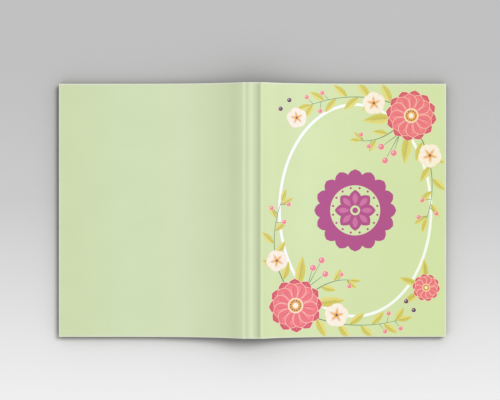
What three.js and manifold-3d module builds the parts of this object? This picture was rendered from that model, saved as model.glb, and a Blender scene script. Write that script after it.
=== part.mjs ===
import * as THREE from 'three';
import { mergeVertices } from 'three/addons/utils/BufferGeometryUtils.js';
import Module from 'manifold-3d';

const wasm = await Module();
wasm.setup();

// A softcover notebook that lies open, face down, with its covers up.
// X runs across the spine with the front half on +X, Y runs along the spine, and Z is up.
// Sizes are in millimetres. The origin is on the surface it lies on, under the middle of the spine.
// Every piece is a cross-section in X and Z, extruded along Y, apart from the sewing thread.
// Paper bends and solids do not, so each sheet is split where it bends: at the crease beside the
// spine and at one line further out, where an inner length meets an outer length.

// Leaves and cover
const pageHeight = 203.2;
const panelWidth = 150.7;
const leafThickness = 0.1;
const leavesPerSection = 8;
const sectionsPerSide = 5;
const liftingSections = 1;
const endpaperThickness = 0.12;
const coverThickness = 0.35;

// Clearances
const sheetGap = 0.05;
const groupGap = 0.2;
const bendGap = 0.3;
const closedGap = 0.32;
const foldGap = 0.15;

// The arch that each half makes between the spine and its flat part
const creaseRise = 9.2;
const archDecay = 45;
const archSpan = 100;
const bendDistance = 30;

// How strongly a leaf keeps its direction as it leaves the adhesive, as a share of its depth
const foldPull = 0.55;

// Spine
const spineCrown = 0.45;
const liningThickness = 0.15;
const adhesiveThickness = 0.3;
const threadThickness = 0.25;
const creaseClearance = 0.25;

// Raised ridge in the cover beside each crease
const ridgeHeight = 0.9;
const ridgePeak = 2.2;
const ridgeLength = 15;

// Sewing
const stations = 6;
const stationMargin = 14;
const stitchLength = 2.4;
const threadWidth = 0.25;

// Smoothness of the curves
const innerSteps = 10;
const outerSteps = 12;
const ridgeSteps = 20;
const foldSteps = 8;
const crownSteps = 10;
const lengthSteps = 200;

// Stack of one half, as depths below the cover's outer face
const sectionThickness = leafThickness * leavesPerSection;
const pastedownTop = coverThickness + sheetGap;
const flyleafTop = pastedownTop + endpaperThickness + groupGap;
const firstSectionTop = flyleafTop + endpaperThickness + sheetGap;

function sectionTop(index) {
  const lifted = index < liftingSections;
  const extra = lifted ? 0 : groupGap - sheetGap;
  return firstSectionTop + index * (sectionThickness + sheetGap) + extra;
}

const halfThickness = sectionTop(sectionsPerSide - 1) + sectionThickness;
const creaseX = halfThickness + closedGap / 2;
const creaseZ = halfThickness + creaseRise;

// Stack under the spine panel, as depths below the crease
const liningTop = coverThickness + sheetGap;
const adhesiveTop = liningTop + liningThickness + sheetGap;
const threadTop = adhesiveTop + adhesiveThickness + sheetGap;
const foldTop = threadTop + threadThickness + sheetGap;
const leafStart = foldTop + creaseClearance;
const coverStart = coverThickness + creaseClearance;

const PAPER = { color: 0xf3efe2, roughness: 0.9, metalness: 0 };
const ENDPAPER = { color: 0xf7f5ec, roughness: 0.88, metalness: 0 };
const COVER = { color: 0xd2e2a8, roughness: 0.55, metalness: 0 };
const LINING = { color: 0xe6dfcb, roughness: 0.95, metalness: 0 };
const ADHESIVE = { color: 0xe9dfb8, roughness: 0.45, metalness: 0 };
const THREAD = { color: 0xf4f0e6, roughness: 0.8, metalness: 0 };

const notebook = new THREE.Group();

function addPiece(name, geometry, look) {
  const mesh = new THREE.Mesh(geometry, new THREE.MeshStandardMaterial(look));
  mesh.name = name;
  notebook.add(mesh);
}

// The cross-section's second coordinate becomes Z, and the extrusion runs along Y.
function extrudeAlongSpine(outline) {
  const settings = { depth: pageHeight, bevelEnabled: false, steps: 1 };
  const geometry = new THREE.ExtrudeGeometry(new THREE.Shape(outline), settings);
  geometry.rotateX(Math.PI / 2);
  geometry.translate(0, pageHeight / 2, 0);
  return geometry;
}

// Height of the cover's outer face above its flat part, at a distance from the crease.
// An exponential, less the straight line that brings height and slope to zero at the arch's end.
const tail = Math.exp(-archSpan / archDecay);
const archScale = creaseRise / (1 - tail - (tail * archSpan) / archDecay);

function archHeight(distance) {
  if (distance >= archSpan) return 0;
  const line = tail + (tail * (archSpan - distance)) / archDecay;
  return archScale * (Math.exp(-distance / archDecay) - line);
}

function archAngle(distance) {
  if (distance >= archSpan) return 0;
  return Math.atan((archScale * (Math.exp(-distance / archDecay) - tail)) / archDecay);
}

// A point of one half, given its distance from the crease and its depth below the outer face
function pointAt(distance, depth) {
  const angle = archAngle(distance);
  const x = creaseX + distance - depth * Math.sin(angle);
  const z = halfThickness + archHeight(distance) - depth * Math.cos(angle);
  return new THREE.Vector2(x, z);
}

// The arch is longer than its shadow on the table, so the fore-edge comes from the sheet's length.
function foreEdgeDistance() {
  const step = archSpan / lengthSteps;
  let length = 0;
  for (let i = 0; i < lengthSteps; i += 1) {
    const middle = (i + 1 / 2) * step;
    length += step / Math.cos(archAngle(middle));
  }
  return archSpan + panelWidth - length;
}

const foreEdge = foreEdgeDistance();

function spread(from, to, steps) {
  return Array.from({ length: steps + 1 }, (_, i) => from + ((to - from) * i) / steps);
}

const innerEnd = bendDistance - bendGap / 2;
const outerStart = bendDistance + bendGap / 2;
const outerDistances = [...spread(outerStart, archSpan, outerSteps), foreEdge];

// A sheet or a stack of leaves between two depths. The lift is how far it stands off the arch.
function sheetOutline(distances, top, bottom, lift = () => 0) {
  const upper = distances.map((d) => pointAt(d, top - lift(d)));
  const lower = distances.map((d) => pointAt(d, bottom - lift(d)));
  return [...upper, ...lower.reverse()];
}

// The ridge rises from the crease to its peak and runs out further along the cover.
function ridgeLift(distance) {
  if (distance >= ridgeLength) return 0;
  if (distance < ridgePeak) return ridgeHeight * Math.sin((Math.PI / 2) * (distance / ridgePeak));
  const along = (distance - ridgePeak) / (ridgeLength - ridgePeak);
  return (ridgeHeight * (1 + Math.cos(Math.PI * along))) / 2;
}

function coverDistances(start) {
  const overRidge = spread(start, ridgeLength, ridgeSteps);
  const beyond = spread(ridgeLength, innerEnd, innerSteps);
  return [...overRidge, ...beyond.slice(1)];
}

// One section's bound edge: its leaves leave the adhesive straight down and turn outwards.
function foldEdge(depth) {
  const start = new THREE.Vector2(creaseX - depth, creaseZ - foldTop);
  const angle = archAngle(0);
  const along = new THREE.Vector2(Math.cos(angle), -Math.sin(angle));
  const end = pointAt(0, depth).addScaledVector(along, leafStart - foldGap);
  const pull = foldPull * depth;
  const leave = new THREE.Vector2(start.x, start.y - pull);
  const arrive = end.clone().addScaledVector(along, -pull);
  return new THREE.CubicBezierCurve(start, leave, arrive, end).getPoints(foldSteps);
}

function foldOutline(top, bottom) {
  return [...foldEdge(top), ...foldEdge(bottom).reverse()];
}

function mirrored(outline, side) {
  return outline.map((point) => new THREE.Vector2(point.x * side, point.y));
}

// The leaves start square to the cover, at a place measured along it from the crease.
function leafDistances() {
  return spread(leafStart * Math.cos(archAngle(0)), innerEnd, innerSteps);
}

function addHalf(label, side) {
  const place = (name, outline, look) => {
    addPiece(`${label}_${name}`, extrudeAlongSpine(mirrored(outline, side)), look);
  };
  const inner = leafDistances();
  const pastedownBottom = pastedownTop + endpaperThickness;
  const flyleafBottom = flyleafTop + endpaperThickness;

  place('cover_inner', sheetOutline(coverDistances(coverStart), 0, coverThickness, ridgeLift), COVER);
  place('cover_outer', sheetOutline(outerDistances, 0, coverThickness), COVER);
  place(
    'pastedown_inner',
    sheetOutline(coverDistances(leafStart), pastedownTop, pastedownBottom, ridgeLift),
    ENDPAPER,
  );
  place('pastedown_outer', sheetOutline(outerDistances, pastedownTop, pastedownBottom), ENDPAPER);
  place('flyleaf_inner', sheetOutline(inner, flyleafTop, flyleafBottom), ENDPAPER);
  place('flyleaf_outer', sheetOutline(outerDistances, flyleafTop, flyleafBottom), ENDPAPER);

  for (let i = 0; i < sectionsPerSide; i += 1) {
    const top = sectionTop(i);
    const bottom = top + sectionThickness;
    place(`section_${i + 1}_fold`, foldOutline(top, bottom), PAPER);
    place(`section_${i + 1}_inner`, sheetOutline(inner, top, bottom), PAPER);
    place(`section_${i + 1}_outer`, sheetOutline(outerDistances, top, bottom), PAPER);
  }
}

// A strip across the spine between two depths below its crowned outer face
function spineStrip(halfWidth, top, bottomAt) {
  const across = spread(-halfWidth, halfWidth, crownSteps);
  const crown = (x) => spineCrown * (1 - (x / creaseX) ** 2);
  const upper = across.map((x) => new THREE.Vector2(x, creaseZ + crown(x) - top));
  const lower = across.map((x) => new THREE.Vector2(x, creaseZ + bottomAt(crown(x))));
  return [...upper, ...lower.reverse()];
}

function addSpine() {
  const panelHalf = creaseX - sheetGap;
  const blockHalf = creaseX - firstSectionTop;
  const liningBottom = liningTop + liningThickness;
  const adhesiveBottom = adhesiveTop + adhesiveThickness;
  const panel = spineStrip(panelHalf, 0, (crown) => crown - coverThickness);
  const lining = spineStrip(blockHalf, liningTop, (crown) => crown - liningBottom);
  const adhesive = spineStrip(blockHalf, adhesiveTop, () => -adhesiveBottom);
  addPiece('spine_panel', extrudeAlongSpine(panel), COVER);
  addPiece('spine_lining', extrudeAlongSpine(lining), LINING);
  addPiece('spine_adhesive', extrudeAlongSpine(adhesive), ADHESIVE);
}

// A closed geometry as a solid, with its shared corners merged
function solidOf(geometry) {
  const bare = geometry.clone();
  bare.deleteAttribute('normal');
  bare.deleteAttribute('uv');
  const merged = mergeVertices(bare);
  const vertProperties = new Float32Array(merged.attributes.position.array);
  const triVerts = new Uint32Array(merged.index.array);
  return new wasm.Manifold(new wasm.Mesh({ numProp: 3, vertProperties, triVerts }));
}

function joined(geometries) {
  const solids = geometries.map(solidOf);
  const whole = solids.reduce((sum, solid) => sum.add(solid));
  const { vertProperties, triVerts } = whole.getMesh();
  const geometry = new THREE.BufferGeometry();
  geometry.setAttribute('position', new THREE.BufferAttribute(vertProperties, 3));
  geometry.setIndex(new THREE.BufferAttribute(triVerts, 1));
  return geometry;
}

function flatBar(centreX, centreY, width, length) {
  const bar = new THREE.BoxGeometry(width, length, threadThickness);
  const centreZ = creaseZ - threadTop - threadThickness / 2;
  return bar.translate(centreX, centreY, centreZ);
}

// The thread runs along the back of every section, and link stitches join the sections
// at the sewing stations.
function addThread() {
  const depths = Array.from({ length: sectionsPerSide }, (_, i) => sectionTop(i));
  const backs = depths.map((top) => creaseX - top - sectionThickness / 2);
  const end = pageHeight / 2 - stationMargin;
  const reach = 2 * (backs[0] + threadWidth / 2);
  const stitches = spread(-end, end, stations - 1).map((y) => flatBar(0, y, reach, stitchLength));
  const runs = [...backs, ...backs.map((x) => -x)].map((x) => flatBar(x, 0, threadWidth, 2 * end));
  addPiece('sewing_thread', joined([...stitches, ...runs]), THREAD);
}

addHalf('front', 1);
addHalf('back', -1);
addSpine();
addThread();

export default notebook;
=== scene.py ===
import math
import random

import bmesh
import bpy
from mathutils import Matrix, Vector
from mathutils.geometry import delaunay_2d_cdt


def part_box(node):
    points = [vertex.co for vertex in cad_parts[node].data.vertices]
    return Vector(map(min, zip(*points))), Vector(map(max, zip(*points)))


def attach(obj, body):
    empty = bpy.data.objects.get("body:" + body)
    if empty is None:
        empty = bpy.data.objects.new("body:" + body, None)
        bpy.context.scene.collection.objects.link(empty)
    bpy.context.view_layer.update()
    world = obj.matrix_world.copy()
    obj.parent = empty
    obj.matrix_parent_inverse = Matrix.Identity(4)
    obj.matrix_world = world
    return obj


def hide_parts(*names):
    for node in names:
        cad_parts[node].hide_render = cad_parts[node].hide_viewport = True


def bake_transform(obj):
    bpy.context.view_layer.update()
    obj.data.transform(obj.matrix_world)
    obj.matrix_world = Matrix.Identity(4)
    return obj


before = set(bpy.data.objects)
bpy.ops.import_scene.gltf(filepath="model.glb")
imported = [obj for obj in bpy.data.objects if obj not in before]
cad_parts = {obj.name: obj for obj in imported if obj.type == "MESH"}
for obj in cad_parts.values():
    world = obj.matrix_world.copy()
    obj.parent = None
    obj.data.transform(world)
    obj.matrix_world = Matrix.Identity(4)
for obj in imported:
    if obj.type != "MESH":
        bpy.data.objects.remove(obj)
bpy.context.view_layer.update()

# A softcover notebook that lies open, face down, with its covers up. Shapes are worked out in
# millimetres, in the CAD's frame, and written to meshes in metres. A sheet is described by a
# distance from its crease, a depth below the cover's outer face, and a place along the spine.
MM = 0.001

# The sheets and the gaps between them
PAGE_HEIGHT = 203.2
HEAD = PAGE_HEIGHT / 2
CARD = 0.35
ENDPAPER = 0.12
LEAF = 0.08
LEAF_PITCH = 0.1
LEAF_TRIM = 0.12
LEAVES = 8
SECTION = LEAF_PITCH * LEAVES
SECTIONS = 5
SHEET_GAP = 0.05
GROUP_GAP = 0.2

# Depths of the sheets, and how many sections of each half turn with its flyleaf
PASTEDOWN_TOP = CARD + SHEET_GAP
FLYLEAF_TOP = PASTEDOWN_TOP + ENDPAPER + GROUP_GAP
FIRST_SECTION_TOP = FLYLEAF_TOP + ENDPAPER + SHEET_GAP
LIFTED = 1

# The arch of each half is an exponential less a straight line, so that it reaches the flat part
# with no height and no slope
HALF_THICKNESS = 5.24
CREASE_X = 5.4
CREASE_Z = 14.44
RISE = 9.2
DECAY = 45.0
SPAN = 100.0
CURVED = 60.0
FORE_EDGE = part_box("front_cover_outer")[1].x / MM - CREASE_X
TAIL = math.exp(-SPAN / DECAY)
ARCH_SCALE = RISE / (1 - TAIL - TAIL * SPAN / DECAY)

# The ridge beside each crease, and the crown of the spine between them
RIDGE_HEIGHT = 0.9
RIDGE_PEAK = 2.2
RIDGE_LENGTH = 15.0
CROWN = 0.45

# The card's rolled edges, the rows of its mesh, and the score that thins it at each crease
ROLL = 0.3
ROLL_DROP = 0.12
RIM_START = 1.0
RIM_GAPS = (ROLL, 0.15, 0.06)
INNER_ROWS = 90
SCORE = 0.1
SCORE_WIDTH = 0.6

# The bound edges. Steps are counted along a fold, and each is given a length on the flat sheet.
LEAF_START = 1.5
FOLD_TOP = 1.25
FOLD_PULL = 0.55
FOLD_STEPS = 24
FOLD_STEP_LENGTH = 0.075
TURN_STEP = 23
HINGE_BULGE = 0.45
HINGE_STEPS = 16
HINGE_STEP_LENGTH = 0.1

# Lining and adhesive under the spine panel. A wave is (height, radians per millimetre).
LINING_TOP = 0.4
LINING = 0.15
LINING_MARGIN = 0.4
LINING_WAVE = (0.01, 9)
ADHESIVE_TOP = 0.6
ADHESIVE_BOTTOM = 1.2
ADHESIVE_MARGIN = 0.15
ADHESIVE_WAVE = (0.05, 7.4)

# Sewing: a long stitch on each fold, and links between the folds at each station
THREAD_RADIUS = 0.12
THREAD_DEPTH = 1.08
THREAD_SIDES = 8
STATIONS = 6
STATION_END = HEAD - 14
STITCH_STEPS = 40
LINK_STEPS = 6
LINK_DIP = 1.1

# Names shared by meshes and materials, and the two material slots of a sheet
FLAT_MAP = "sheet"
PRINT = "print"
FACE, EDGE = 0, 1
SMOOTH_BELOW = math.radians(35)

# Where most of a noise lies, for roughness and ragged edges, and for tints
NOISE_RANGE = (0.3, 0.7)
TINT_RANGE = (0.25, 0.75)

random.seed(11)


def arch_height(u):
    """Height of the outer face above its flat part, at a distance from the crease."""
    if u >= SPAN:
        return 0.0
    return ARCH_SCALE * (math.exp(-u / DECAY) - TAIL - TAIL * (SPAN - u) / DECAY)


def arch_angle(u):
    """How steeply the outer face falls there, in radians."""
    if u >= SPAN:
        return 0.0
    return math.atan(ARCH_SCALE * (math.exp(-u / DECAY) - TAIL) / DECAY)


# The direction of the sheets beside the crease, and where their arched length begins
OUTWARDS = Vector((math.cos(arch_angle(0)), -math.sin(arch_angle(0))))
LEAF_INNER = LEAF_START * math.cos(arch_angle(0))


def point_at(u, depth):
    """(x, z) of one half's point."""
    a = arch_angle(u)
    return CREASE_X + u - depth * math.sin(a), HALF_THICKNESS + arch_height(u) - depth * math.cos(a)


def ridge_lift(u):
    """How far the ridge beside the crease stands off the arch."""
    if u >= RIDGE_LENGTH:
        return 0.0
    if u < RIDGE_PEAK:
        return RIDGE_HEIGHT * math.sin(math.pi / 2 * u / RIDGE_PEAK)
    along = (u - RIDGE_PEAK) / (RIDGE_LENGTH - RIDGE_PEAK)
    return RIDGE_HEIGHT * (1 + math.cos(math.pi * along)) / 2


def spine_top(x):
    """Height of the spine panel's outer face, across from its middle."""
    return CREASE_Z + CROWN * (1 - (x / CREASE_X) ** 2)


def section_top(index):
    """Depth of a section. The last one that turns has a wider gap below it."""
    extra = 0.0 if index < LIFTED else GROUP_GAP - SHEET_GAP
    return FIRST_SECTION_TOP + index * (SECTION + SHEET_GAP) + extra


def leaf_top(index, k):
    """Depth of one leaf of a section."""
    return section_top(index) + k * LEAF_PITCH + (LEAF_PITCH - LEAF) / 2


def spread(low, high, steps):
    """Evenly spaced numbers, with both ends."""
    return [low + (high - low) * i / steps for i in range(steps + 1)]


def sheet_distances(start, end):
    """Close together where the sheet curves or bends, and wide apart where it is flat."""
    curved = spread(start, CURVED, steps=24)
    easing = spread(CURVED, SPAN, steps=8)[1:]
    return curved + easing + spread(SPAN, end, steps=4)[1:]


# Printed inks and bare materials, as the eye sees them: sRGB of 0 to 255
COLOURS = {
    "ground": (213, 227, 170),
    "back": (207, 221, 180),
    "coral": (238, 118, 124),
    "coral_light": (249, 155, 154),
    "coral_deep": (214, 88, 102),
    "peach": (252, 226, 196),
    "cream": (250, 240, 220),
    "blush": (249, 212, 190),
    "orange": (238, 176, 84),
    "olive": (212, 201, 90),
    "olive_light": (228, 218, 122),
    "olive_deep": (180, 170, 66),
    "stem": (112, 146, 104),
    "plum": (92, 72, 96),
    "pink": (240, 132, 146),
    "magenta": (178, 76, 134),
    "magenta_light": (206, 112, 160),
    "white": (250, 252, 246),
    "card_rim": (228, 233, 214),
    "card_handled": (216, 219, 206),
    "board": (232, 233, 214),
    "leaf": (234, 229, 213),
    "endpaper": (237, 234, 223),
    "toned_paper": (226, 214, 186),
    "cut_paper": (232, 226, 209),
    "rule": (150, 168, 190),
    "weave": (236, 229, 210),
    "weave_gap": (178, 166, 138),
    "adhesive": (233, 224, 188),
    "linen": (244, 239, 226),
}


def linear(colour):
    """A named colour, or an sRGB triple of 0 to 255, as a linear RGBA."""
    rgb = COLOURS[colour] if isinstance(colour, str) else colour
    return [((c / 255 + 0.055) / 1.055) ** 2.4 for c in rgb] + [1.0]


def add_object(name, data):
    made = bpy.data.objects.new(name, data)
    bpy.context.scene.collection.objects.link(made)
    return made


class Solid:
    """Collects faces with their UVs, which are millimetres on the flat sheet, and their inks."""

    def __init__(self):
        self.points = []
        self.faces = []
        self.uvs = []
        self.slots = []
        self.inks = []

    def point(self, x, y, z):
        self.points.append((x * MM, y * MM, z * MM))
        return len(self.points) - 1

    def face(self, corners, uvs, slot=FACE, ink=None):
        self.faces.append(corners)
        self.uvs.append(uvs)
        self.slots.append(slot)
        self.inks.append(ink)

    def sheet(self, upper, lower, ys, along, side=1):
        """A thin closed sheet between two (x, z) paths."""
        top = [[self.point(side * x, y, z) for y in ys] for x, z in upper]
        low = [[self.point(side * x, y, z) for y in ys] for x, z in lower]
        last, rows = len(upper) - 1, len(ys) - 1
        for i in range(last):
            for j in range(rows):
                uv = [(along[i + a], ys[j + b]) for a, b in ((0, 0), (1, 0), (1, 1), (0, 1))]
                for grid in (top, low):
                    self.face([grid[i][j], grid[i + 1][j], grid[i + 1][j + 1], grid[i][j + 1]], uv)
            for j in (0, rows):
                uv = [(along[i], ys[j]), (along[i + 1], ys[j])] * 2
                self.face([top[i][j], top[i + 1][j], low[i + 1][j], low[i][j]], uv, EDGE)
        for i in (0, last):
            for j in range(rows):
                uv = [(along[i], ys[j]), (along[i], ys[j + 1])] * 2
                self.face([top[i][j], top[i][j + 1], low[i][j + 1], low[i][j]], uv, EDGE)

    def make(self, name, materials):
        mesh = bpy.data.meshes.new(name)
        mesh.from_pydata(self.points, [], self.faces)
        layer = mesh.uv_layers.new(name=FLAT_MAP)
        layer.uv.foreach_set("vector", [c for face in self.uvs for uv in face for c in uv])
        if any(self.inks):
            colours = mesh.color_attributes.new(PRINT, "FLOAT_COLOR", "CORNER")
            flat = [c for face, ink in zip(self.faces, self.inks) for _ in face for c in linear(ink)]
            colours.data.foreach_set("color", flat)
        for material in materials:
            mesh.materials.append(material)
        mesh.polygons.foreach_set("material_index", self.slots)
        facing = bmesh.new()
        facing.from_mesh(mesh)
        bmesh.ops.recalc_face_normals(facing, faces=facing.faces)
        facing.to_mesh(mesh)
        facing.free()
        mesh.polygons.foreach_set("use_smooth", [True] * len(mesh.polygons))
        mesh.set_sharp_from_angle(angle=SMOOTH_BELOW)
        return add_object(name, mesh)


class Look:
    """A material made of nodes, whose patterns lie on the flat sheet in millimetres."""

    def __init__(self, name, roughness, specular=0.4):
        self.material = bpy.data.materials.new(name)
        self.material.use_nodes = True
        self.tree = self.material.node_tree
        self.shader = self.tree.nodes["Principled BSDF"]
        self.shader.inputs["Roughness"].default_value = roughness
        self.shader.inputs["Specular IOR Level"].default_value = specular
        self.flat = self.add("ShaderNodeUVMap", uv_map=FLAT_MAP).outputs["UV"]

    def add(self, kind, **settings):
        node = self.tree.nodes.new(kind)
        for key, value in settings.items():
            setattr(node, key, value)
        return node

    def put(self, value, socket):
        if isinstance(value, bpy.types.NodeSocket):
            self.tree.links.new(value, socket)
        elif isinstance(value, list):
            socket.default_value = value[: len(socket.default_value)]
        else:
            socket.default_value = value

    def math(self, operation, a, b=0.0):
        node = self.add("ShaderNodeMath", operation=operation)
        self.put(a, node.inputs[0])
        self.put(b, node.inputs[1])
        return node.outputs[0]

    def noise(self, scale, detail, stretch=None):
        """Noise from 0 to 1. The scale is features per millimetre."""
        node = self.add("ShaderNodeTexNoise", noise_dimensions="2D")
        where = self.flat
        if stretch:
            scaled = self.add("ShaderNodeVectorMath", operation="MULTIPLY")
            self.put(self.flat, scaled.inputs[0])
            scaled.inputs[1].default_value = (*stretch, 1)
            where = scaled.outputs[0]
        self.put(where, node.inputs["Vector"])
        node.inputs["Scale"].default_value = scale
        node.inputs["Detail"].default_value = detail
        return node.outputs["Fac"]

    def mix(self, factor, a, b, blend="MIX"):
        node = self.add("ShaderNodeMix", data_type="RGBA", blend_type=blend)
        self.put(factor, node.inputs["Factor"])
        self.put(a, node.inputs["A"])
        self.put(b, node.inputs["B"])
        return node.outputs["Result"]

    def span(self, value, low, high, to_low=0.0, to_high=1.0):
        node = self.add("ShaderNodeMapRange")
        for socket, number in zip(node.inputs, (value, low, high, to_low, to_high)):
            self.put(number, socket)
        return node.outputs["Result"]

    def scale(self, colour, level):
        node = self.add("ShaderNodeVectorMath", operation="SCALE")
        self.put(colour, node.inputs[0])
        self.put(level, node.inputs["Scale"])
        return node.outputs[0]

    def tint(self, colour, amount, pattern):
        """The colour, lighter and darker by the amount as the pattern goes from 0 to 1."""
        return self.scale(colour, self.span(pattern, *TINT_RANGE, 1 - amount, 1 + amount))

    def ramp(self, value, stops):
        """A linear colour for each value. Stops are (value, level or linear RGB)."""
        low, high = stops[0][0], stops[-1][0]
        node = self.add("ShaderNodeValToRGB")
        self.put(self.span(value, low, high), node.inputs["Fac"])
        elements = node.color_ramp.elements
        for at, _ in stops[1:-1]:
            elements.new((at - low) / (high - low))
        for element, (_, tone) in zip(elements, stops):
            rgb = tone if isinstance(tone, tuple) else (tone, tone, tone)
            element.color = (*rgb, 1)
        return node.outputs["Color"]

    def bump(self, *layers):
        """Each layer is (pattern, depth in millimetres)."""
        normal = None
        for pattern, depth in layers:
            node = self.add("ShaderNodeBump")
            node.inputs["Distance"].default_value = depth * MM
            self.put(pattern, node.inputs["Height"])
            if normal:
                self.put(normal, node.inputs["Normal"])
            normal = node.outputs["Normal"]
        self.put(normal, self.shader.inputs["Normal"])

    def split(self, place):
        node = self.add("ShaderNodeSeparateXYZ")
        self.put(place, node.inputs[0])
        return node.outputs[0], node.outputs[1]

    def edge_gap(self, across, along, fore_edge):
        """Distance to the nearest trimmed edge of the sheet."""
        to_side = self.math("SUBTRACT", fore_edge, across)
        to_end = self.math("SUBTRACT", HEAD, self.math("ABSOLUTE", along))
        return self.math("MINIMUM", to_side, to_end)

    def finish(self, colour, roughness=None):
        self.put(colour, self.shader.inputs["Base Color"])
        if roughness:
            self.put(roughness, self.shader.inputs["Roughness"])
        return self.material


# How the print fades across each panel, as a share of the ink: (millimetres from the crease, RGB).
# Near the crease the front is painted darker and the back lighter, as painted shade and painted
# light, and a paler band some 40 to 50 mm from the crease is a painted sheen. Toward the fore-edge
# the print's own tone changes.
FRONT_FADE_AND_SHADING = ((0, (0.93, 0.925, 1.0)), (14, (0.93, 0.925, 1.0)), (38, (0.99, 1.0, 1.1)),
              (80, (0.99, 1.0, 1.02)), (150, (0.97, 0.985, 0.92)))
BACK_FADE_AND_SHADING = ((0, (1.03, 1.01, 1.0)), (18, (1.02, 1.0, 0.99)), (48, (1.06, 1.04, 1.085)),
             (90, (1.0, 1.02, 1.025)), (150, (0.99, 0.98, 0.93)))

# Painted shade in the creases and in a wide band on the front side of the spine, and painted
# highlights on the ridges and on the crown of the spine
FRONT_RIDGE_SHADING = ((0, 0.86), (0.5, 0.95), (1.1, 1.12), (2.0, 1.08), (3.2, 0.97), (8, 0.98), (14, 1.0))
BACK_RIDGE_SHADING = ((0, 0.9), (0.7, 0.95), (1.6, 1.05), (2.6, 1.06), (3.6, 1.04), (8, 1.02), (14, 1.0))
SPINE_SHADING = ((-5.4, 0.95), (-4.6, 0.99), (-3, 1.05), (-1.4, 1.13), (-0.6, 1.12), (0.6, 1.0),
              (2.6, 0.88), (4.2, 0.75), (4.8, 0.69), (5.4, 0.76))

# The trimmed rim of the card: (gap where a band starts, gap where it is full, share, colour)
RIM_BANDS = ((2.1, 0.8, 0.36, "card_handled"), (0.95, 0.25, 0.75, "card_rim"))
RIM_WANDER = 0.22

# The spine panel has no fore-edge, so one is set farther off than its ends
NO_FORE_EDGE = PAGE_HEIGHT

# Ruled lines on the leaves. The shift keeps the rows' numbers above 0.
RULE_PITCH = 7.1
RULE_WIDTH = 0.22
RULE_MARGIN = 12.0
RULE_SHIFT = 200.0
RULE_STRENGTH = 0.55

# How far a leaf is toned from its edges
TONED_WIDTH = 4.0

# Radians of the lining's weave to a millimetre, and of the sewing thread's twist to a ring along it
# and to a facet round it
WEAVE_RATE = 5.2
STRANDS_ALONG = 9.0
STRANDS_ROUND = 6.0


def card_look(name, fore_edge, *ramps):
    """Printed card under a matt film. Ramps across it multiply the print, with painted shade, painted
    highlights and a painted sheen as well as the print's own fades, and its trimmed edges are rubbed
    pale."""
    look = Look(name, roughness=0.5)
    across, along = look.split(look.flat)
    ink = look.add("ShaderNodeAttribute", attribute_name=PRINT).outputs["Color"]
    fibre = look.noise(scale=0.9, detail=4)
    colour = look.tint(ink, 0.012, look.noise(scale=0.035, detail=3))
    colour = look.tint(colour, 0.012, fibre)
    # Each ramp paints shade, highlights or sheen into the print, as well as fading it
    for stops in ramps:
        colour = look.mix(1.0, colour, look.ramp(across, stops), "MULTIPLY")
    wander = look.span(look.noise(scale=0.35, detail=4), *NOISE_RANGE, -RIM_WANDER, RIM_WANDER)
    ragged = look.math("ADD", look.edge_gap(across, along, fore_edge), wander)
    for start, full, share, tone in RIM_BANDS:
        colour = look.mix(look.span(ragged, start, full, 0.0, share), colour, linear(tone))
    look.bump((look.noise(scale=0.22, detail=2), 0.02), (look.noise(scale=3.2, detail=3), 0.012))
    return look.finish(colour, look.span(fibre, *NOISE_RANGE, 0.46, 0.56))


def board_edge_look():
    """Trimmed edge of the card: pale board with streaks along the cut."""
    look = Look("card_core", roughness=0.85, specular=0.25)
    look.bump((look.noise(scale=4.0, detail=2), 0.02))
    return look.finish(look.tint(linear("board"), 0.05, look.noise(scale=1.5, detail=3)))


def ruling(look, along):
    """How strongly the ruled lines show: one to a row, between the margins."""
    row = look.math("FRACT", look.math("DIVIDE", look.math("ADD", along, RULE_SHIFT), RULE_PITCH))
    off = look.math("ABSOLUTE", look.math("SUBTRACT", row, 0.5))
    line = look.math("LESS_THAN", off, 0.5 * RULE_WIDTH / RULE_PITCH)
    inside = look.math("LESS_THAN", look.math("ABSOLUTE", along), HEAD - RULE_MARGIN)
    return look.math("MULTIPLY", look.math("MULTIPLY", line, inside), RULE_STRENGTH)


def paper_look(name, colour, ruled):
    """Uncoated paper: fine fibres, faint clouding, and edges toned by handling."""
    look = Look(name, roughness=0.85, specular=0.25)
    across, along = look.split(look.flat)
    fibre = look.noise(scale=1.4, detail=5, stretch=(1.0, 0.45))
    made = look.tint(linear(colour), 0.012, look.noise(scale=0.05, detail=3))
    made = look.tint(made, 0.02, fibre)
    toned = look.span(look.edge_gap(across, along, FORE_EDGE), 0.0, TONED_WIDTH, 0.35, 0.0)
    made = look.mix(toned, made, linear("toned_paper"))
    if ruled:
        made = look.mix(ruling(look, along), made, linear("rule"))
    look.bump((look.noise(scale=0.12, detail=2), 0.03), (fibre, 0.012))
    return look.finish(made, look.span(fibre, *NOISE_RANGE, 0.8, 0.92))


def paper_edge_look():
    """The cut edge of a leaf, a little darker than its face."""
    look = Look("paper_edge", roughness=0.95, specular=0.15)
    look.bump((look.noise(scale=3.0, detail=2), 0.01))
    return look.finish(look.tint(linear("cut_paper"), 0.07, look.noise(scale=0.8, detail=4)))


def cloth_look():
    """Open-weave lining: two sets of threads with dark gaps between them."""
    look = Look("mull", roughness=0.95, specular=0.15)
    warp, weft = (look.math("ABSOLUTE", look.math("SINE", look.math("MULTIPLY", way, WEAVE_RATE)))
                  for way in look.split(look.flat))
    weave = look.math("MAXIMUM", warp, weft)
    shade = look.mix(weave, linear("weave_gap"), linear("weave"))
    look.bump((weave, 0.06), (look.noise(scale=2.0, detail=3), 0.02))
    return look.finish(look.tint(shade, 0.04, look.noise(scale=0.4, detail=3)))


def adhesive_look():
    """Dried binding adhesive, milky and slightly glossy."""
    look = Look("glue", roughness=0.38, specular=0.5)
    lumps = look.noise(scale=0.5, detail=3)
    look.bump((lumps, 0.12), (look.noise(scale=2.5, detail=2), 0.03))
    colour = look.tint(linear("adhesive"), 0.05, lumps)
    return look.finish(colour, look.span(lumps, *NOISE_RANGE, 0.3, 0.5))


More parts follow.
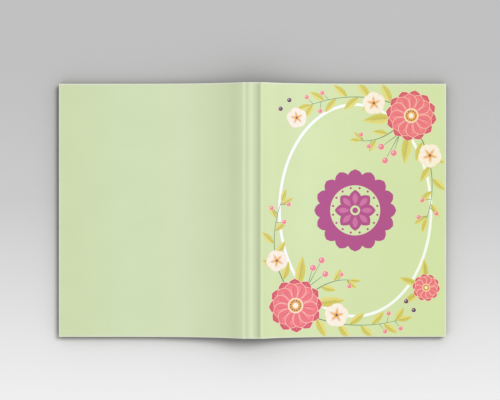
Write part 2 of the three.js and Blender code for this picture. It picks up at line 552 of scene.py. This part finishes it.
def thread_look():
    """Twisted linen thread."""
    look = Look("linen", roughness=0.8, specular=0.3)
    around, along = look.split(look.flat)
    turned = look.math("MULTIPLY", around, STRANDS_ROUND)
    twist = look.math("SINE", look.math("ADD", look.math("MULTIPLY", along, STRANDS_ALONG), turned))
    look.bump((twist, 0.03))
    return look.finish(look.tint(linear("linen"), 0.08, look.span(twist, -1, 1)))


# The printed design: (ink, outline) in millimetres on the front cover, from the crease and from
# the middle of its height. Later shapes cover earlier ones.
art = []


def draw(ink, outline):
    """Adds a shape, turned so that its outline runs anticlockwise, which the triangulation needs."""
    area = sum(a[0] * b[1] - b[0] * a[1] for a, b in zip(outline, outline[1:] + outline[:1]))
    art.append((ink, outline if area > 0 else outline[::-1]))


def ray(cx, cy, angle, r):
    return cx + r * math.cos(angle), cy + r * math.sin(angle)


def ellipse(cx, cy, rx, ry=None, steps=28):
    ry = ry or rx
    turns = [2 * math.pi * k / steps for k in range(steps)]
    return [(cx + rx * math.cos(t), cy + ry * math.sin(t)) for t in turns]


def petal(cx, cy, angle, inner, outer, width, shift=1.5, blunt=0.7, steps=11, grow=0.0,
          half_only=False):
    """A petal or leaf on a ray from (cx, cy). A larger shift moves its widest part outwards."""
    sides = []
    inner, outer = inner - grow, outer + grow
    for t in spread(0, 1, steps):
        half = (width / 2 + grow) * math.sin(math.pi * t**shift) ** blunt
        sides.append((inner + (outer - inner) * t, half))
    path = sides if half_only else sides + [(r, -h) for r, h in reversed(sides[1:-1])]
    c, s = math.cos(angle), math.sin(angle)
    return [(cx + r * c - h * s, cy + r * s + h * c) for r, h in path]


def stroke(points, width):
    """A line of that width, which tapers to its far end."""
    left, right = [], []
    for k, (x, y) in enumerate(points):
        x0, y0 = points[max(k - 1, 0)]
        x1, y1 = points[min(k + 1, len(points) - 1)]
        run = math.hypot(x1 - x0, y1 - y0)
        half = width / 2 * (1 - 0.6 * k / (len(points) - 1))
        nx, ny = -(y1 - y0) / run * half, (x1 - x0) / run * half
        left.append((x + nx, y + ny))
        right.append((x - nx, y - ny))
    return left + right[::-1]


def curve(a, b, c, steps):
    """Points on the quadratic curve from a to c that leans to b."""
    made = []
    for t in spread(0, 1, steps):
        weights = ((1 - t) ** 2, 2 * t * (1 - t), t * t)
        made.append(tuple(sum(w * p for w, p in zip(weights, place)) for place in zip(a, b, c)))
    return made


# Streaks on a daisy's petal: (lean in radians, ink)
STREAKS = ((-0.14, "coral_deep"), (-0.07, "coral_light"), (0.0, "coral_light"), (0.07, "coral_light"),
           (0.14, "coral_deep"))


def daisy(cx, cy, radius, petals, turn):
    """A many-petalled flower in two rings around a dotted eye."""
    step = 2 * math.pi / petals
    for outer, offset, ink in ((radius, 0.5, "coral_deep"), (radius * 0.86, 0.0, "coral")):
        width = outer * 2.3 * math.sin(step / 2)
        for k in range(petals):
            angle = turn + (k + offset) * step
            for edge, shade in ((0.3, "peach"), (0.0, ink)):
                draw(shade, petal(cx, cy, angle, radius * 0.12, outer, width, grow=edge))
            for lean, shade in STREAKS:
                a = ray(cx, cy, angle + lean * 0.5, radius * 0.32)
                b = ray(cx, cy, angle + lean, outer * (0.9 - abs(lean)))
                middle = ((a[0] + b[0]) / 2, (a[1] + b[1]) / 2)
                draw(shade, stroke([a, middle, b], radius * 0.03))
    draw("peach", ellipse(cx, cy, radius * 0.29))
    draw("orange", ellipse(cx, cy, radius * 0.24))
    for k in range(petals):
        draw("plum", ellipse(*ray(cx, cy, turn + k * step, radius * 0.18), radius * 0.028, steps=8))
    draw("cream", ellipse(cx, cy, radius * 0.1, steps=16))


def primrose(cx, cy, radius, turn):
    """A small flower of five round petals."""
    turns = [turn + 2 * math.pi / 5 * k for k in range(5)]
    for angle in turns:
        for grow, ink in ((0.35, "peach"), (0.0, "cream")):
            draw(ink, petal(cx, cy, angle, 0.0, radius, radius * 0.98, 1.7, 0.6, grow=grow))
    for angle in turns:
        draw("blush", petal(cx, cy, angle, 0.1, radius * 0.62, radius * 0.3, 1.1, 1.0, steps=7))
        for lean in (-0.16, 0.0, 0.16):
            a = ray(cx, cy, angle + lean, radius * 0.2)
            b = ray(cx, cy, angle + lean, radius * (0.72 - abs(lean)))
            draw("orange", stroke([a, b], radius * 0.05))
    draw("orange", ellipse(cx, cy, radius * 0.24, steps=18))
    draw("plum", ellipse(cx, cy, radius * 0.1, steps=12))


def leaf(x, y, angle, length, slim=0.36, veins=0):
    """A leaf in two tones with a midrib, and with side veins where it is large."""
    shape = (angle, 0.6, length, length * slim, 0.85, 0.9)
    draw("olive", petal(x, y, *shape))
    draw("olive_light", petal(x, y, *shape, half_only=True))
    draw("olive_deep", stroke([ray(x, y, angle, 1.0), ray(x, y, angle, length * 0.86)], 0.5))
    for k in range(veins):
        root = ray(x, y, angle, length * (0.25 + 0.5 * k / veins))
        for lean in (-0.6, 0.6):
            draw("olive_deep", stroke([root, ray(*root, angle + lean, length * 0.15)], 0.35))


def spray(cx, cy, inner, length, degrees):
    """Large leaves that fan out from behind a flower."""
    for turn in degrees:
        angle = math.radians(turn)
        leaf(*ray(cx, cy, angle, inner), angle, length, 0.32, 5)


def berry(cx, cy, radius, root=None, ink="pink"):
    if root:
        draw("stem", stroke([root, (cx, cy)], 0.5))
    draw("peach", ellipse(cx, cy, radius + 0.3, steps=16))
    draw(ink, ellipse(cx, cy, radius, steps=16))
    draw("cream", ellipse(cx - radius * 0.3, cy + radius * 0.3, radius * 0.25, steps=8))


def berry_bunch(root, places):
    for place in places:
        draw("stem", stroke([root, place], 0.7))
    for place in places:
        berry(*place, 2.4)


def sprig(a, b, c, leaves, size, berries):
    """A stem with leaves to either side, and berries near its end."""
    path = curve(a, b, c, 3 * leaves)
    draw("stem", stroke(path, 0.9))
    for k in range(leaves):
        i = 2 + round(k * (len(path) - 4) / max(leaves - 1, 1))
        x, y = path[i]
        x0, y0 = path[i - 1]
        angle = math.atan2(y - y0, x - x0) + (0.75 if k % 2 else -0.75)
        leaf(x, y, angle, size * (1 - 0.3 * k / leaves))
    end = path[-1]
    heading = math.atan2(end[1] - path[-2][1], end[0] - path[-2][0])
    leaf(*ray(*end, heading, -1.4), heading, size * 0.7)
    for k in range(berries):
        root = path[len(path) - 2 - 2 * k]
        lean = heading + (1.15 if k % 2 else -1.15)
        berry(*ray(*root, lean, size * 0.42), 1.7, root)


def petal_ring(cx, cy, radius, ink, count, inner, outer, width, shift, blunt):
    """Equal petals around a point. Their sizes are shares of the radius."""
    for k in range(count):
        angle = 2 * math.pi * k / count
        draw(ink, petal(cx, cy, angle, radius * inner, radius * outer, radius * width, shift, blunt))


def medallion(cx, cy, radius):
    """A round ornament of nested petal rings."""
    petal_ring(cx, cy, radius, "magenta", 16, 0.56, 1.0, 0.36, 1.25, 0.6)
    draw("magenta", ellipse(cx, cy, radius * 0.73, steps=48))
    draw("ground", ellipse(cx, cy, radius * 0.61, steps=48))
    for k in range(16):
        dot = ray(cx, cy, (k + 0.5) * math.pi / 8, radius * 0.55)
        draw("magenta", ellipse(*dot, radius * 0.028, steps=10))
    petal_ring(cx, cy, radius, "magenta", 8, 0.06, 0.5, 0.3, 1.2, 0.8)
    petal_ring(cx, cy, radius, "magenta_light", 8, 0.14, 0.42, 0.13, 1.2, 0.8)
    draw("ground", ellipse(cx, cy, radius * 0.12, steps=20))
    draw("magenta", ellipse(cx, cy, radius * 0.07, steps=16))


def oval_frame(cx, cy, rx, ry, width):
    draw("white", ellipse(cx, cy, rx, ry, 120))
    draw("ground", ellipse(cx, cy, rx - width, ry - width, 120))


# Each kind of motif, lowest first, with the arguments of every one of its kind
DESIGN = (
    (oval_frame, ((77, 0, 62, 86, 2.2),)),
    (medallion, ((77, 0, 33),)),
    (sprig, (((112, 84), (78, 98), (40, 84), 8, 18, 3),
             ((128, 62), (146, 28), (134, -8), 7, 17, 3),
             ((110, 66), (96, 54), (80, 56), 3, 13, 2),
             ((40, -84), (74, -98), (112, -88), 8, 18, 3),
             ((22, -62), (4, -30), (18, 8), 7, 16, 3),
             ((42, -66), (58, -54), (74, -56), 3, 13, 2))),
    (spray, ((122, 76, 14, 25, (186, 262)),
             (29, -76, 15, 25, (6, 82)),
             (134, -62, 6, 17, (95, 160, 215)))),
    (berry_bunch, (((113, 62), ((108, 46), (98, 51), (101, 40))),
                   ((38, -62), ((43, -46), (53, -51), (50, -40))))),
    (berry, ((124, -80, 1.8, None, "plum"), (118, -73, 1.8, None, "plum"),
             (24, 88, 1.8, None, "plum"), (17, 81, 1.8, None, "plum"))),
    (daisy, ((122, 76, 20.5, 12, 0.1), (29, -76, 21.5, 12, 0.3), (134, -62, 11.0, 10, 0.2))),
    (primrose, ((92, 86, 9.0, 0.4), (137, 44, 9.5, 1.0), (62, -84, 9.5, 0.2), (14, -40, 8.5, 0.8),
                (30, 74, 8.0, 0.5))),
)


def rolled(gap):
    """How far the face drops at a gap from a trimmed edge."""
    if gap >= ROLL:
        return 0.0
    return ROLL_DROP * (1 - math.sqrt(max(0.0, 1 - (1 - gap / ROLL) ** 2)))


def scored(gap):
    """The card's thickness at a distance from the crease, where it is pressed thin."""
    return CARD * (SCORE + (1 - SCORE) * min(1.0, gap / SCORE_WIDTH))


def cover_point(u, y, inside):
    """(x, z) of a cover panel's outer or inner face. At the crease it meets the spine panel."""
    depth = scored(u) if inside else rolled(min(FORE_EDGE - u, HEAD - abs(y)))
    if u == 0.0:
        return CREASE_X, CREASE_Z - depth
    return point_at(u, depth - ridge_lift(u))


def spine_point(x, y, inside):
    """(x, z) of the spine panel's outer or inner face."""
    depth = scored(CREASE_X - abs(x)) if inside else rolled(HEAD - abs(y))
    return x, spine_top(x) - depth


# Arguments of the triangulation: all triangles, and points closer than this are one
ALL_TRIANGLES = 0
SAME_POINT = 1e-4


def cut_sheet(across, lengths, outlines):
    """Points and triangles of a flat sheet, cut along its grid lines and its outlines together. The
    first outline is the sheet's own. Each triangle comes with the last outline that it is in."""
    low, high = across[0], across[-1]
    lines = [((u, -HEAD), (u, HEAD)) for u in across] + [((low, y), (high, y)) for y in lengths]
    verts = [Vector(end) for line in lines for end in line]
    edges = [(k, k + 1) for k in range(0, len(verts), 2)]
    faces = []
    for outline in outlines:
        faces.append(list(range(len(verts), len(verts) + len(outline))))
        verts += [Vector(p) for p in outline]
    points, _, cells, _, _, origins = delaunay_2d_cdt(verts, edges, faces, ALL_TRIANGLES, SAME_POINT)
    return points, [(cell, max(of)) for cell, of in zip(cells, origins) if 0 in of]


def card(name, across, lengths, place, materials, ink, shapes=(), side=1):
    """A closed card, whose printed shapes are part of its own outer face."""
    low, high = across[0], across[-1]
    whole = [(low, -HEAD), (high, -HEAD), (high, HEAD), (low, HEAD)]
    inks, outlines = zip((ink, whole), *shapes)
    points, triangles = cut_sheet(across, lengths, outlines)
    made = Solid()
    outer, inner, uv, rim = {}, {}, {}, {}
    for v in sorted({v for cell, _ in triangles for v in cell}):
        u, y = min(max(points[v][0], low), high), min(max(points[v][1], -HEAD), HEAD)
        uv[v] = (u, y)
        for corners, inside in ((outer, False), (inner, True)):
            x, z = place(u, y, inside)
            corners[v] = made.point(side * x, y, z)
    for cell, last in triangles:
        made.face([outer[v] for v in cell], [uv[v] for v in cell], FACE, inks[last])
        made.face([inner[v] for v in cell], [uv[v] for v in cell], FACE, ink)
        for a, b in zip(cell, cell[1:] + cell[:1]):
            key = (min(a, b), max(a, b))
            rim[key] = None if key in rim else (a, b)
    for a, b in filter(None, rim.values()):
        made.face([outer[a], outer[b], inner[b], inner[a]], [uv[a], uv[b], uv[b], uv[a]], EDGE, ink)
    return made.make(name, materials)


def end_rows():
    rim = [HEAD - gap for gap in (RIM_START, *RIM_GAPS)]
    return sorted([-y for y in rim] + spread(-INNER_ROWS, INNER_ROWS, steps=12) + rim)


def cover_columns():
    ridge = spread(0, RIDGE_LENGTH, steps=26)
    arch = spread(RIDGE_LENGTH, SPAN, steps=36)[1:]
    flat = spread(SPAN, FORE_EDGE - RIM_START, steps=5)[1:]
    return ridge + arch + flat + [FORE_EDGE - gap for gap in (*RIM_GAPS, 0.0)]


# The ramps given to each card paint shade, highlights and sheen into its print near the creases
card_faces = {
    "front": card_look("card_front", FORE_EDGE, FRONT_FADE_AND_SHADING, FRONT_RIDGE_SHADING),
    "back": card_look("card_back", FORE_EDGE, BACK_FADE_AND_SHADING, BACK_RIDGE_SHADING),
    "spine": card_look("card_spine", NO_FORE_EDGE, SPINE_SHADING),
}
board_edge = board_edge_look()
leaf_face = paper_look("leaf_face", "leaf", True)
end_face = paper_look("endpaper_face", "endpaper", False)
leaf_edge = paper_edge_look()
cloth = cloth_look()
adhesive = adhesive_look()
linen = thread_look()


def on_half(piece):
    """The piece lies along one half, in place of its inner and outer nodes."""
    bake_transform(piece)
    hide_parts(f"{piece.name}_inner", f"{piece.name}_outer")


def on_spine(piece, node):
    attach(piece, "spine")
    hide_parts(node)


def build_cover(label, side, shapes, ink):
    piece = card(f"{label}_cover", cover_columns(), end_rows(), cover_point,
                 [card_faces[label], board_edge], ink, shapes, side)
    on_half(piece)


def build_spine_card():
    columns = spread(-CREASE_X, CREASE_X, steps=24)
    materials = [card_faces["spine"], board_edge]
    piece = card("spine_card", columns, end_rows(), spine_point, materials, "back")
    on_spine(piece, "spine_panel")


def leaf_rows(trim=0.0):
    return spread(-HEAD + trim, HEAD - trim, steps=4)


def add_leaf(solid, side, along, top, thick, trim=0.0, lift=None):
    """One sheet of a half, through distances from the crease. It may be lifted as the cover is."""
    lifts = [lift(u) if lift else 0.0 for u in along]
    upper = [point_at(u, top - rise) for u, rise in zip(along, lifts)]
    lower = [point_at(u, top + thick - rise) for u, rise in zip(along, lifts)]
    solid.sheet(upper, lower, leaf_rows(trim / 2), along, side)


def build_endpapers(label, side):
    ridge = spread(LEAF_INNER, RIDGE_LENGTH, steps=20)
    beyond = sheet_distances(RIDGE_LENGTH, FORE_EDGE)[1:]
    pastedown = Solid()
    add_leaf(pastedown, side, ridge + beyond, PASTEDOWN_TOP, ENDPAPER, lift=ridge_lift)
    piece = pastedown.make(f"{label}_pastedown", [end_face, leaf_edge])
    on_half(piece)

    flyleaf = Solid()
    add_leaf(flyleaf, side, sheet_distances(LEAF_INNER, FORE_EDGE), FLYLEAF_TOP, ENDPAPER)
    piece = flyleaf.make(f"{label}_flyleaf", [end_face, leaf_edge])
    on_half(piece)


def build_section(label, side, index):
    section = Solid()
    for k in range(LEAVES):
        trim = random.uniform(0.0, LEAF_TRIM)
        along = sheet_distances(LEAF_INNER, FORE_EDGE - trim)
        add_leaf(section, side, along, leaf_top(index, k), LEAF, trim)
    piece = section.make(f"{label}_section_{index + 1}", [leaf_face, leaf_edge])
    on_half(piece)


def fold_path(depth):
    """A leaf leaves the adhesive straight down and turns outwards to meet its arched length."""
    start = Vector((CREASE_X - depth, CREASE_Z - FOLD_TOP))
    end = Vector(point_at(LEAF_INNER, depth))
    pull = FOLD_PULL * depth
    leave = start - Vector((0, pull))
    arrive = end - pull * OUTWARDS
    made = []
    for t in spread(0, 1, FOLD_STEPS):
        s = 1 - t
        p = s**3 * start + 3 * t * s**2 * leave + 3 * t * t * s * arrive + t**3 * end
        made.append(tuple(p))
    return made


def build_fold(label, side, index):
    """The bound edge of a section. That of a lifted section is in two lengths, because its leaves
    turn on their own."""
    number = index + 1
    block, leaves = f"{label}_block_inner", f"{label}_leaves_inner"
    split = TURN_STEP if index < LIFTED else FOLD_STEPS
    lengths = [(0, split, "spine", block, f"{label}_section_{number}_bound")]
    if split < FOLD_STEPS:
        lengths.append((split, FOLD_STEPS, block, leaves, f"{label}_section_{number}_turn"))
    for first, last, a, b, name in lengths:
        fan = Solid()
        along = [FOLD_STEP_LENGTH * i for i in range(first, last + 1)]
        for k in range(LEAVES):
            top = leaf_top(index, k)
            upper, lower = (fold_path(depth)[first : last + 1] for depth in (top, top + LEAF))
            fan.sheet(upper, lower, leaf_rows(), along, side)
        piece = fan.make(name, [leaf_face, leaf_edge])
        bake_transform(piece)
        if first == 0:
            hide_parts(f"{label}_section_{number}_fold")


def build_hinge(label, side):
    """The fold that joins the pastedown to the flyleaf."""
    high = Vector(point_at(LEAF_INNER, PASTEDOWN_TOP - ridge_lift(LEAF_INNER)))
    low = Vector(point_at(LEAF_INNER, FLYLEAF_TOP + ENDPAPER))
    centre = (high + low) / 2
    reach = (high - low).length / 2
    up = (high - low).normalized()
    outer, inner = [], []
    for t in spread(0, math.pi, HINGE_STEPS):
        back, rise = -math.sin(t) * OUTWARDS, -math.cos(t) * up
        outer.append(tuple(centre + HINGE_BULGE * back + reach * rise))
        inner.append(tuple(centre + (HINGE_BULGE - ENDPAPER) * back + (reach - ENDPAPER) * rise))
    fold = Solid()
    along = [HINGE_STEP_LENGTH * k for k in range(HINGE_STEPS + 1)]
    fold.sheet(outer, inner, leaf_rows(), along, side)
    piece = fold.make(f"{label}_endpaper_fold", [end_face, leaf_edge])
    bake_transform(piece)


def add_strip(name, material, margin, upper, lower, columns):
    """A strip along the spine, between two lists of heights across it."""
    strip = Solid()
    rows = spread(-HEAD + margin, HEAD - margin, steps=12)
    strip.sheet(list(zip(columns, upper)), list(zip(columns, lower)), rows, columns)
    return strip.make(name, [material, material])


def build_back_strips():
    half = CREASE_X - FIRST_SECTION_TOP
    columns = spread(-half, half, steps=24)
    height, rate = LINING_WAVE
    upper = [spine_top(x) - LINING_TOP + height * math.sin(rate * x) for x in columns]
    lower = [z - LINING for z in upper]
    piece = add_strip("spine_mull", cloth, LINING_MARGIN, upper, lower, columns)
    on_spine(piece, "spine_lining")

    height, rate = ADHESIVE_WAVE
    upper = [spine_top(x) - ADHESIVE_TOP for x in columns]
    lower = [CREASE_Z - ADHESIVE_BOTTOM + height * math.cos(rate * x) for x in columns]
    piece = add_strip("spine_glue", adhesive, ADHESIVE_MARGIN, upper, lower, columns)
    on_spine(piece, "spine_adhesive")


def add_tube(solid, path):
    """A round thread along a path of points. Its UVs count facets round it and rings along it."""
    rings = []
    for k, p in enumerate(path):
        ahead = (Vector(path[min(k + 1, len(path) - 1)]) - Vector(path[max(k - 1, 0)])).normalized()
        flat = ahead.cross(Vector((0, 0, 1))).normalized()
        up = flat.cross(ahead)
        ring = []
        for s in range(THREAD_SIDES):
            t = 2 * math.pi * s / THREAD_SIDES
            out = math.cos(t) * flat + math.sin(t) * up
            ring.append(solid.point(*(Vector(p) + THREAD_RADIUS * out)))
        rings.append(ring)
    for k in range(len(rings) - 1):
        for s in range(THREAD_SIDES):
            n = (s + 1) % THREAD_SIDES
            uv = [(s, k), (s + 1, k), (s + 1, k + 1), (s, k + 1)]
            solid.face([rings[k][s], rings[k][n], rings[k + 1][n], rings[k + 1][s]], uv)
    for ring in (rings[0], rings[-1]):
        solid.face(list(ring), [(0, s) for s in range(THREAD_SIDES)])


def build_thread():
    z = CREASE_Z - THREAD_DEPTH
    half = [CREASE_X - section_top(i) - SECTION / 2 for i in range(SECTIONS)]
    folds = half + [-x for x in half]
    sewing = Solid()
    for x in folds:
        add_tube(sewing, [(x, y, z) for y in spread(-STATION_END, STATION_END, STITCH_STEPS)])
    dips = [(t, LINK_DIP * math.sin(math.pi * t)) for t in spread(0, 1, LINK_STEPS)]
    for y in spread(-STATION_END, STATION_END, STATIONS - 1):
        for a, b in zip(sorted(folds), sorted(folds)[1:]):
            add_tube(sewing, [(a + (b - a) * t, y + dip, z) for t, dip in dips])
    on_spine(sewing.make("sewing_linen", [linen]), "sewing_thread")


# Pale grey, darker behind the notebook and lighter in front of it: (y in millimetres, sRGB level)
FLOOR_TONES = ((115, 193), (8, 204), (-105, 231), (-150, 239))
FLOOR_REACH = 4.0
FLOOR_SHADE_REACH = 0.05
FLOOR_SHADE_LEAST = 0.5

# The key light's share of the light on a level face, its lean to the right and back, and its width
KEY_SHARE = 0.52
KEY_TILT = (0.68, 0.54)
KEY_SPREAD = 27
SKY_TONE = 224

# The camera is straight above, a little left of and above the notebook's middle: metres
CAMERA_AT = (-0.00197, 0.0083, 0.70524)
CAMERA_LENS = 62.8
CAMERA_SENSOR = 36.0
CAMERA_CLIP = (0.05, 20.0)


def floor_look():
    """Matt grey that darkens a little near the notebook: painted shade, from its ambient occlusion
    multiplied into its colour.
    """
    look = Look("floor_paint", roughness=1.0, specular=0.0)
    _, back = look.split(look.add("ShaderNodeTexCoord").outputs["Object"])
    tone = look.ramp(back, [(y * MM, linear((level,) * 3)[0]) for y, level in FLOOR_TONES])
    shade = look.add("ShaderNodeAmbientOcclusion")
    shade.inputs["Distance"].default_value = FLOOR_SHADE_REACH
    return look.finish(look.scale(tone, look.math("MAXIMUM", shade.outputs["AO"], FLOOR_SHADE_LEAST)))


def build_floor():
    mesh = bpy.data.meshes.new("floor")
    corners = [(x * FLOOR_REACH, y * FLOOR_REACH, 0) for x, y in ((-1, -1), (1, -1), (1, 1), (-1, 1))]
    mesh.from_pydata(corners, [], [(0, 1, 2, 3)])
    floor = add_object("floor", mesh)
    mesh.materials.append(floor_look())


def build_key():
    """A broad light from the right and a little from behind. With the fill it lights a level face so
    that a colour looks as written."""
    key = bpy.data.lights.new("key", "SUN")
    toward = Vector((*KEY_TILT, 1)).normalized()
    key.energy = KEY_SHARE * math.pi / toward.z
    key.angle = math.radians(KEY_SPREAD)
    lamp = add_object("key", key)
    lamp.rotation_euler = toward.to_track_quat("Z", "Y").to_euler()


def build_fill():
    """An even light from all round, which the camera sees as a grey backdrop."""
    world = bpy.data.worlds.new("studio")
    bpy.context.scene.world = world
    world.use_nodes = True
    tree = world.node_tree
    fill = tree.nodes["Background"]
    fill.inputs["Color"].default_value = (1, 1, 1, 1)
    fill.inputs["Strength"].default_value = 1 - KEY_SHARE
    backdrop = tree.nodes.new("ShaderNodeBackground")
    backdrop.inputs["Color"].default_value = linear((SKY_TONE,) * 3)
    seen = tree.nodes.new("ShaderNodeLightPath")
    pick = tree.nodes.new("ShaderNodeMixShader")
    tree.links.new(seen.outputs["Is Camera Ray"], pick.inputs["Fac"])
    tree.links.new(fill.outputs[0], pick.inputs[1])
    tree.links.new(backdrop.outputs[0], pick.inputs[2])
    tree.links.new(pick.outputs[0], tree.nodes["World Output"].inputs["Surface"])


def build_camera():
    camera = bpy.data.cameras.new("camera")
    camera.sensor_width = CAMERA_SENSOR
    camera.lens = CAMERA_LENS
    camera.clip_start, camera.clip_end = CAMERA_CLIP
    holder = add_object("camera", camera)
    holder.location = CAMERA_AT
    bpy.context.scene.camera = holder
    bpy.context.scene.view_settings.view_transform = "Standard"


build_camera()
build_floor()
build_key()
build_fill()
for motif, places in DESIGN:
    for place in places:
        motif(*place)
build_cover("front", 1, art, "ground")
build_cover("back", -1, (), "back")
build_spine_card()
for half, sign in (("front", 1), ("back", -1)):
    build_endpapers(half, sign)
    build_hinge(half, sign)
    for position in range(SECTIONS):
        build_section(half, sign, position)
        build_fold(half, sign, position)
build_back_strips()
build_thread()
